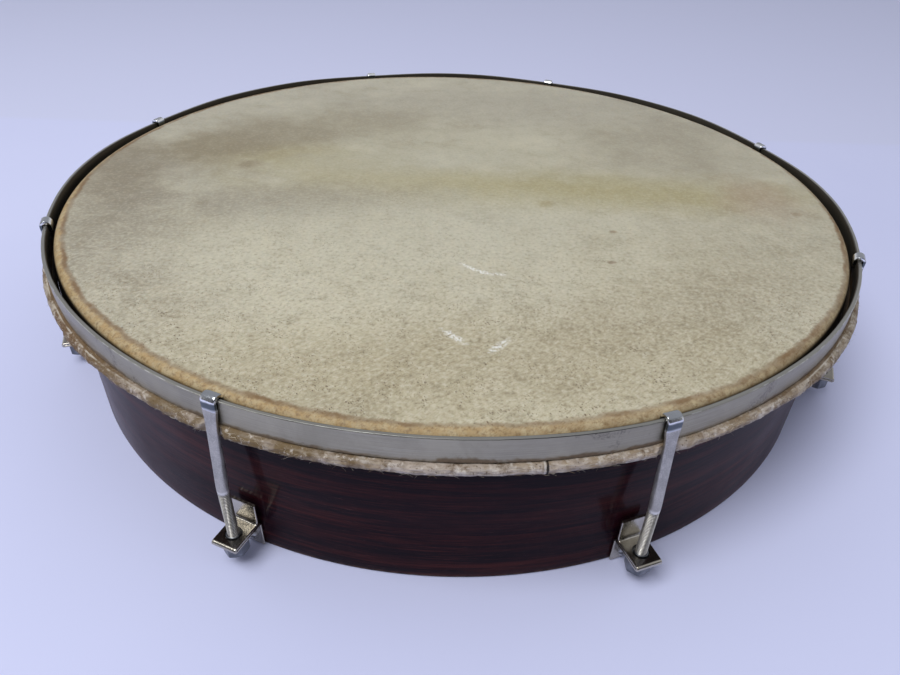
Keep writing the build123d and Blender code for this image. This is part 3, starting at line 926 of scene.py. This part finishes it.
def make_lap_fibres(material, surface):
    """Loose fibres that stand off the rolled hide, mostly along its lower edge and its cut edge."""
    random = np.random.default_rng(29)
    count = 3200
    start = random.random(count) * LAP_SEGMENTS
    low = random.random(count) < 0.65
    low_place = random.normal(-52, 15, count)
    high_place = random.normal(42, 20, count)
    theta = np.radians(np.where(low, low_place, high_place))
    way = np.where(random.random(count) < 0.5, -1.0, 1.0)
    length = random.uniform(0.6, 2.6, count) * MM
    slope = random.normal(0, 0.5, count)
    wisp = random.random(count) < 0.16
    lift = random.gamma(1.6, 0.09, count) * MM + np.where(wisp, random.uniform(0.4, 1.3, count) * MM, 0)
    thick = random.uniform(0.028, 0.06, count) * MM

    steps = np.linspace(0, 1, 6)
    along = start[:, None] + way[:, None] * length[:, None] * steps / (LAP_RADIUS * FULL_TURN) * LAP_SEGMENTS
    section_step = LAP_SECTION[1] - LAP_SECTION[0]
    turned_by = slope[:, None] * length[:, None] * steps / LAP_HALF_WIDTH
    across = (theta[:, None] + turned_by - LAP_SECTION[0]) / section_step
    across = np.clip(across, 0, len(LAP_SECTION) - 1.001)

    i = np.floor(along).astype(int)
    j = np.floor(across).astype(int)
    u = (along - i)[..., None]
    v = (across - j)[..., None]
    here, ahead = [
        surface[(i + step) % LAP_SEGMENTS, j] * (1 - v) + surface[(i + step) % LAP_SEGMENTS, j + 1] * v
        for step in (0, 1)
    ]
    base = here * (1 - u) + ahead * u

    turn = along / LAP_SEGMENTS * FULL_TURN
    around = np.stack([-np.sin(turn), np.cos(turn), 0 * turn], -1)
    tilt = LAP_SECTION[0] + across * section_step
    out = np.stack([np.cos(turn) * np.cos(tilt), np.sin(turn) * np.cos(tilt), np.sin(tilt)], -1)
    side = np.cross(around, out)
    centre = base + out * (lift[:, None] * steps ** 1.6 + 0.01 * MM)[..., None]
    size = (thick[:, None] * np.array([0.9, 1.0, 0.95, 0.8, 0.55, 0.2]))[..., None]
    ring = np.stack([centre + out * size, centre - out * size * 0.5 + side * size * 0.87,
                     centre - out * size * 0.5 - side * size * 0.87], 2)

    one = quads_of(len(steps), 3, False, True)
    per_strand = len(steps) * 3
    offsets = np.arange(count)[:, None, None] * per_strand
    faces = (one[None] + offsets).reshape(-1, 4).tolist()
    for first in range(0, count * per_strand, per_strand):
        faces.append((first + 2, first + 1, first))
        faces.append((first + per_strand - 3, first + per_strand - 2, first + per_strand - 1))
    piece = mesh_piece("lap_fibres", ring.reshape(-1, 3), faces, material)
    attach(piece, "hoop")
    return piece


# ---- shell and hoop

def make_shell(material):
    """A bent-wood shell with rounded edges, the top one inside and out, and a little wider at its top."""
    segments = 960
    inner = SHELL_RADIUS - SHELL_WALL
    inner_round = 3.5 * MM
    foot_round = 0.9 * MM
    section = bend((SHELL_RADIUS - foot_round, foot_round), foot_round, -90, 0, 5)
    climb = np.linspace(foot_round, SHELL_HEIGHT - BEARING_ROUND, 20)[1:-1]
    widens = part_way(climb, SHELL_WIDENS_FROM, SHELL_WIDEST_FROM)
    section += list(zip(SHELL_RADIUS + (SHELL_TOP_RADIUS - SHELL_RADIUS) * widens, climb))
    section += bend((SHELL_TOP_RADIUS - BEARING_ROUND, SHELL_HEIGHT - BEARING_ROUND), BEARING_ROUND, 0, 90, 9)
    section += bend((inner + inner_round, SHELL_HEIGHT - inner_round), inner_round, 90, 180, 9)
    section += bend((inner + foot_round, foot_round), foot_round, 180, 270, 5)
    section = np.array(section)
    grid = ring_grid(section[:, 0], section[:, 1], segments)
    random = np.random.default_rng(17)
    angle = ring_angles(segments)
    bow = waves(angle, random, 2, 24, 0.03 * MM)[:, None] * np.sin(math.pi * section[:, 1] / SHELL_HEIGHT)
    grid[..., 0] -= abs(bow) * np.cos(angle)[:, None]
    grid[..., 1] -= abs(bow) * np.sin(angle)[:, None]
    piece = grid_piece("bentwood_shell", grid, material, close_rows=True)
    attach(piece, "frame")
    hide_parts("shell")
    return piece


WELD_ANGLE = math.radians(128)


def make_counter_hoop(material):
    """A flat steel hoop with broken edges, pulled down a little at each hook, with one weld."""
    segments = 1800
    edge_round = 0.34 * MM
    low = (HOOP_RADIUS - HOOP_THICKNESS, HOOP_LOW)
    section = rounded_box_section(low, (HOOP_RADIUS, HOOP_HIGH), edge_round, 5)
    # More points up the outer face, so that it can be a little uneven
    climb = np.linspace(HOOP_LOW + edge_round, HOOP_HIGH - edge_round, 9)[1:-1]
    section = np.concatenate([section[:5], [(HOOP_RADIUS, z) for z in climb], section[5:]])
    random = np.random.default_rng(23)
    angle = ring_angles(segments)
    height = section[:, 1] + hoop_lift(angle)[:, None]
    dents = waves(angle, random, 20, 160, 0.018 * MM)[:, None] + waves(angle, random, 3, 12, 0.05 * MM)[:, None]
    beside_weld = arc_from(angle, WELD_ANGLE) * HOOP_RADIUS
    weld = 0.14 * MM * hump(beside_weld, 1.1 * MM)[:, None]
    outer = (section[:, 0] - low[0]) / HOOP_THICKNESS
    # Nicks along the top outer edge
    nicks = np.clip(waves(angle, random, 90, 420, 0.05 * MM) - 0.05 * MM, 0, 0.12 * MM)[:, None]
    top_edge = np.clip((section[:, 1] - HOOP_HIGH + 0.5 * MM) / (0.5 * MM), 0, 1) * np.clip(outer * 2 - 1, 0, 1)
    grid = ring_grid(section[:, 0] + dents + weld * (outer - 0.5), height - nicks * top_edge, segments)
    piece = grid_piece("counter_hoop_band", grid, material, close_rows=True)
    keep(piece, "level", np.tile(section[:, 1] - HOOP_LOW, segments))
    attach(piece, "hoop")
    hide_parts("counter_hoop")
    return piece


# ---- hooks

THREAD_PITCH = 0.7 * MM
THREAD_TOP = 35.5 * MM
THREAD_DEPTH = 0.4 * MM
CROWN_RADIUS = 1.7 * MM
CROWN_AXIS = 182.75 * MM
CROWN_HEIGHT = 71.65 * MM
CLAW_LENGTH = 2.65 * MM
LEAN_HEAD = 68.5 * MM
LEAN_FOOT = 34.5 * MM
# The shank, beaten flatter and wider towards its top: levels, then its sizes at each
SHANK_LEVELS = np.array([34.5, 38.0, 45.0, 52.0, 58.5, 60.65, 63.0, 66.0, 68.6]) * MM
SHANK_THICK = np.array([3.9, 3.6, 3.15, 2.6, 1.95, 1.72, 1.55, 1.5, 1.5]) * MM
SHANK_WIDTH = np.array([3.9, 3.75, 3.8, 3.95, 4.1, 4.2, 4.35, 4.7, 5.3]) * MM
SHANK_SQUARE = np.array([2.0, 2.9, 3.4, 3.8, 4.2, 4.3, 4.4, 4.8, 5.6])


def hook_path(crown_height):
    """The hook's centre line in the radial plane, from the claw's tip over the crown to the rod's end."""
    claw = CROWN_AXIS - CROWN_RADIUS
    back = CROWN_AXIS + CROWN_RADIUS
    up = [(claw, z) for z in np.linspace(crown_height - CLAW_LENGTH, crown_height, 11)]
    over = bend((CROWN_AXIS, crown_height), CROWN_RADIUS, 180, 0, 25)[1:]
    # Below the crown the outer face leans out in a straight line to the rod's front
    z = np.linspace(crown_height, THREAD_TOP, 90)[1:]
    lean = part_way(z, LEAN_FOOT, LEAN_HEAD)
    lean = np.where(lean < 0.06, lean * lean / 0.12, lean - 0.03) / 0.97
    front = ROD_AXIS + ROD_RADIUS + (back + SHANK_THICK[-1] / 2 - ROD_AXIS - ROD_RADIUS) * lean
    down = list(zip(front - np.interp(z, SHANK_LEVELS, SHANK_THICK) / 2, z))
    rows = int((THREAD_TOP - ROD_END) / (THREAD_PITCH / 7))
    thread = [(ROD_AXIS, z) for z in np.linspace(THREAD_TOP, ROD_END, rows)[1:]]
    return np.array(up + over + down + thread)


def make_hook(number, angle, material):
    """A steel rod beaten flat at the top and bent over the counter hoop, threaded at the bottom."""
    columns = 40
    random = np.random.default_rng(100 + number)
    crown_height = CROWN_HEIGHT + hoop_lift(angle)
    path = hook_path(crown_height)
    normal = normals_of(path)
    travel = np.concatenate([[0], np.cumsum(np.linalg.norm(np.diff(path, axis=0), axis=1))])
    past_crown = travel > CROWN_RADIUS * math.pi
    height = np.where(past_crown, path[:, 1], crown_height)

    thickness = np.interp(height, SHANK_LEVELS, SHANK_THICK)
    width = np.interp(height, SHANK_LEVELS, SHANK_WIDTH)
    power = np.interp(height, SHANK_LEVELS, SHANK_SQUARE)[:, None]
    width[past_crown] += lumps(path[past_crown][:, [0, 1, 1]], 6 * MM, 40 + number) * 0.07 * MM

    round_off = 0.55 * MM
    near_tip = np.clip(travel / round_off, 0.05, 1)
    near_foot = np.clip((travel[-1] - travel) / (0.6 * MM), 0, 1)
    ends = np.sqrt(1 - (1 - near_tip) ** 2) * (0.78 + 0.22 * near_foot)

    turn = ring_angles(columns)
    cos, sin = np.cos(turn), np.sin(turn)
    across = np.sign(cos) * abs(cos) ** (2 / power) * (thickness / 2 * ends)[:, None]
    along = np.sign(sin) * abs(sin) ** (2 / power) * (width / 2 * (0.7 + 0.3 * ends))[:, None]

    # A right-hand thread with flats at crest and root, running out at its top
    turns = path[:, 1][:, None] / THREAD_PITCH - turn / FULL_TURN + random.random()
    sawtooth = abs((turns % 1) * 2 - 1)
    cut = np.clip((sawtooth - 0.14) / 0.72, 0, 1)
    deep = np.clip((THREAD_TOP - path[:, 1]) / (1.6 * MM), 0, 1)[:, None]
    shrink = 1 - cut * deep * THREAD_DEPTH / ROD_RADIUS
    radius = path[:, :1] + normal[:, :1] * across * shrink
    level = path[:, 1:] + normal[:, 1:] * across * shrink
    grid = np.stack([radius, along * shrink, level], -1)
    piece = grid_piece(f"hook_{number}", turned(grid, angle), material, sharp_angle=math.radians(50))
    keep(piece, "level", level)
    keep(piece, "crest", 1 - cut * deep)
    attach(piece, "hoop")
    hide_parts(f"tension_hook_{number}")
    return piece


# ---- brackets and nuts

STRIP = 1.05 * MM
STRIP_WIDTH = 10 * MM
SEAM_GAP = 0.1 * MM
TAB_TOP = 22.8 * MM
TAB_OFF_SHELL = 1.5 * MM
LEG_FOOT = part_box("bracket_1")[0].z
PLATE_REACH = 15 * MM
PLATE_HOLE = 3.05 * MM
SCREW_HEIGHT = 5.1 * MM
SCREW_HOLE = 1.6 * MM


def bracket_path():
    """The folded strip's centre line, as distance from the shell and height: tab, plate, fold, leg."""
    layer = STRIP + SEAM_GAP
    upper = PLATE_TOP - STRIP / 2
    lower = upper - layer
    tab = TAB_OFF_SHELL + STRIP / 2
    leg = 0.6 * MM
    tab_bend = 1.6 * MM
    leg_bend = 0.75 * MM
    fold = PLATE_REACH - STRIP / 2 - layer / 2
    path = [(tab, z) for z in np.linspace(TAB_TOP, upper + tab_bend, 14)[:-1]]
    path += bend((tab + tab_bend, upper + tab_bend), tab_bend, 180, 270, 9)
    path += [(x, upper) for x in np.linspace(tab + tab_bend, fold, 16)[1:-1]]
    path += bend((fold, upper - layer / 2), layer / 2, 90, -90, 13)
    path += [(x, lower) for x in np.linspace(fold, leg + leg_bend, 18)[1:-1]]
    path += bend((leg + leg_bend, lower - leg_bend), leg_bend, 90, 180, 7)
    path += [(leg, z) for z in np.linspace(lower - leg_bend, LEG_FOOT, 14)[1:]]
    return np.array(path)


def strip_section():
    """Across the strip: how far from its middle, and half its thickness there."""
    edge = np.array([0, 0.05, 0.15, 0.3]) * MM
    half = STRIP_WIDTH / 2
    middle = np.linspace(-half + 0.3 * MM, half - 0.3 * MM, 23)[1:-1]
    place = np.concatenate([-half + edge, middle, (half - edge)[::-1]])
    depth = STRIP / 2 - 0.26 * MM * np.clip(1 - (half - abs(place)) / (0.3 * MM), 0, 1) ** 2
    return place, depth


def bored(piece, places):
    """Cuts round holes, each (centre, radius, length, how its axis is turned from upright)."""
    scene = bpy.context.scene.collection
    for centre, radius, length, turn in places:
        rim = ring_angles(64)
        outline = polar(radius, rim, 0)
        ends = np.stack([outline + (0, 0, -length / 2), outline + (0, 0, length / 2)])
        cutter = grid_piece("cutter", ends, piece.data.materials[0])
        cutter.matrix_world = Matrix.Translation(centre) @ turn
        cut = piece.modifiers.new("bore", "BOOLEAN")
        cut.operation = "DIFFERENCE"
        cut.solver = "EXACT"
        cut.object = cutter
        bpy.context.view_layer.update()
        result = bpy.data.meshes.new_from_object(piece.evaluated_get(bpy.context.evaluated_depsgraph_get()))
        piece.modifiers.clear()
        old = piece.data
        name = old.name
        piece.data = result
        bpy.data.meshes.remove(old)
        result.name = name
        scene.objects.unlink(cutter)
        bpy.data.objects.remove(cutter)
    piece.data.shade_smooth()
    piece.data.set_sharp_from_angle(angle=math.radians(35))


def make_bracket(number, angle, material):
    """A steel strip folded double into a shelf, with a leg screwed to the shell and a torn-off tab."""
    random = np.random.default_rng(200 + number)
    path = bracket_path()
    place, depth = strip_section()
    normal = normals_of(path)

    # The tab's top was sheared and torn: its height wanders across the strip
    torn = 0.3 * MM * np.abs(lumps(np.stack([place, 0 * place, 0 * place], -1), 2.2 * MM, number))
    torn += random.random(len(place)) * 0.22 * MM + (place / STRIP_WIDTH + 0.5) * random.uniform(-0.1, 0.5) * MM
    torn -= torn.min()
    drop = part_way(path[:, 1], TAB_TOP - 3 * MM, TAB_TOP)
    drop[path[:, 0] > TAB_OFF_SHELL + STRIP] = 0
    front = path[:, None] + normal[:, None] * depth[None, :, None]
    behind = path[:, None] - normal[:, None] * depth[None, ::-1, None]
    front[..., 1] -= drop[:, None] * torn
    behind[..., 1] -= drop[:, None] * torn[::-1]
    outline = np.concatenate([front, behind], 1)
    sideways = np.broadcast_to(np.concatenate([place, place[::-1]]), outline.shape[:2])
    grid = np.stack([outline[..., 0] + SHELL_RADIUS, sideways, outline[..., 1]], -1)

    rows, columns = grid.shape[:2]
    faces = quads_of(rows, columns, False, True).tolist()
    last = (rows - 1) * columns
    for k in range(len(place) - 1):
        faces.append((k + 1, k, columns - 1 - k, columns - 2 - k))
        faces.append((last + k, last + k + 1, last + columns - 2 - k, last + columns - 1 - k))
    piece = mesh_piece(f"bracket_plate_{number}", grid, faces, material)
    hole_height = (PLATE_TOP + PLATE_BOTTOM) / 2
    sideways_turn = Matrix.Rotation(math.pi / 2, 4, "Y")
    bored(piece, (
        (Vector((ROD_AXIS, 0, hole_height)), PLATE_HOLE, 4 * MM, Matrix.Identity(4)),
        (Vector((SHELL_RADIUS + 0.6 * MM, 0, SCREW_HEIGHT)), SCREW_HOLE, 3 * MM, sideways_turn),
    ))
    piece.data.transform(Matrix.Rotation(angle, 4, "Z"))
    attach(piece, "frame")
    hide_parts(f"bracket_{number}")
    return piece


def make_nut(number, angle, material):
    """A hexagonal tuning nut with a round collar that sits in the bracket's hole."""
    columns = 96
    flat = 4.0 * MM
    collar = 2.5 * MM
    bore = 1.98 * MM
    hex_top = PLATE_BOTTOM - 0.05 * MM
    face = 3.72 * MM
    corner = 4.55 * MM
    slope = 1.7
    random = np.random.default_rng(300 + number)
    turn = ring_angles(columns)
    spin = random.random() * math.pi / 3
    folded = (turn % (math.pi / 3)) - math.pi / 6
    hexagon = np.minimum(flat / np.cos(folded), corner)

    rise = np.array([0, 0.06, 0.14, 0.22, 0.3, 0.38, 0.46, 0.54]) * MM
    rows = [(np.minimum(hexagon, face + slope * up), NUT_BOTTOM + up) for up in rise]
    rows += [(hexagon, NUT_BOTTOM + (hex_top - NUT_BOTTOM) * share) for share in (0.3, 0.5, 0.7)]
    rows += [(np.minimum(hexagon, face + slope * up), hex_top - up) for up in rise[::-1]]
    whole = np.ones(columns)
    for radius, level in (
        (collar + 0.08 * MM, hex_top), (collar, hex_top + 0.08 * MM), (collar, NUT_TOP - 0.2 * MM),
        (collar - 0.14 * MM, NUT_TOP - 0.05 * MM), (collar - 0.26 * MM, NUT_TOP), (bore + 0.14 * MM, NUT_TOP),
        (bore, NUT_TOP - 0.14 * MM), (bore, NUT_BOTTOM + 0.4 * MM), (bore + 0.4 * MM, NUT_BOTTOM),
    ):
        rows.append((whole * radius, level))
    radius = np.array([row[0] for row in rows])
    level = np.array([np.full(columns, row[1]) for row in rows])
    grid = turned(polar(radius, turn + spin, level) + (ROD_AXIS, 0, 0), angle)
    piece = grid_piece(f"nut_{number}", grid, material, close_rows=True, sharp_angle=math.radians(22))
    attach(piece, f"nut_{number}")
    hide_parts(f"tuning_nut_{number}")
    return piece


def finish_node(name, material):
    """Gives a CAD node that stays as it is its own material."""
    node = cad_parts[name]
    for place in node.material_slots:
        place.link = "OBJECT"
        place.material = material


# ---- stage, light and camera

def make_floor():
    size = 4.0
    grid = np.array([[(-size, -size, 0), (-size, size, 0)], [(size, -size, 0), (size, size, 0)]], float)
    mesh = bpy.data.meshes.new("floor")
    mesh.from_pydata(grid.reshape(-1, 3).tolist(), [], [(0, 2, 3, 1)])
    mesh.materials.append(floor_paint())
    floor = bpy.data.objects.new("floor", mesh)
    floor.location.z = -0.05 * MM
    bpy.context.scene.collection.objects.link(floor)


WORLD_ROOM = (0.575, 0.585, 0.625)
WORLD_FRONT = (0.09, 0.09, 0.1)


def make_world():
    """A pale even room, with a dark stretch at eye level behind the camera."""
    world = bpy.data.worlds.new("room")
    world.use_nodes = True
    background = world.node_tree.nodes["Background"].inputs
    room = Shader(world.node_tree)
    _, y, z = room.axes(room.node("TexCoord", {}, "Generated"))
    in_front = y.spread(-0.2, -0.6) * z.spread(0.88, 0.66)
    room.link(room.mix(in_front, WORLD_ROOM, WORLD_FRONT), background["Color"])
    background["Strength"].default_value = 1.0
    bpy.context.scene.world = world


def area_light(name, place, target, size, power):
    light = bpy.data.lights.new(name, "AREA")
    light.shape = "DISK"
    light.size = size
    light.energy = power
    lamp = bpy.data.objects.new(name, light)
    lamp.location = place
    lamp.rotation_euler = (Vector(target) - Vector(place)).to_track_quat("-Z", "Y").to_euler()
    bpy.context.scene.collection.objects.link(lamp)


def make_camera():
    """The drum is seen from close in front and above, with the camera tipped a little clockwise."""
    yaw = 0.0018
    pitch = 0.6316
    roll = 0.0385
    forward = Vector((math.sin(yaw) * math.cos(pitch), math.cos(yaw) * math.cos(pitch), -math.sin(pitch)))
    level = Vector((math.cos(yaw), -math.sin(yaw), 0))
    raised = level.cross(forward)
    right = math.cos(roll) * level + math.sin(roll) * raised
    up = -math.sin(roll) * level + math.cos(roll) * raised
    turn = Matrix((right, up, -forward)).transposed()
    lens = bpy.data.cameras.new("camera")
    lens.sensor_width = 36.0
    lens.lens = 27.6
    lens.clip_start = 0.01
    camera = bpy.data.objects.new("camera", lens)
    camera.matrix_world = Matrix.Translation((0, -0.3224, 0.2099)) @ turn.to_4x4()
    bpy.context.scene.collection.objects.link(camera)
    bpy.context.scene.camera = camera


# ---- putting it together

make_camera()
make_floor()
make_world()
area_light("key", (-0.5, -0.62, 1.4), (0, 0, 0.03), 0.9, 15.6)
bpy.context.scene.view_settings.view_transform = "Standard"

skin = skin_paint()
lap_material = lap_paint()
surface = lap_surface()
shell = make_shell(lacquer_paint())
lap = make_skin_lap(lap_material, surface)
make_lap_fibres(fibre_paint(), surface)
head = make_skin_head(skin)
make_counter_hoop(hoop_paint())

hook_metal = hook_paint()
bracket_metal = bracket_paint()
nut_metal = zinc_paint("blue_zinc_nut", (0.235, 0.246, 0.262), (0.125, 0.134, 0.15))
screw_metal = zinc_paint("zinc_screw", (0.56, 0.56, 0.56), (0.38, 0.38, 0.38))
for number, angle in enumerate(STATION_ANGLES, 1):
    make_hook(number, angle, hook_metal)
    make_bracket(number, angle, bracket_metal)
    make_nut(number, angle, nut_metal)

finish_node("flesh_hoop", bare_wood_paint())
for name in ("bracket_screws", "screw_washers", "screw_nuts"):
    finish_node(name, screw_metal)
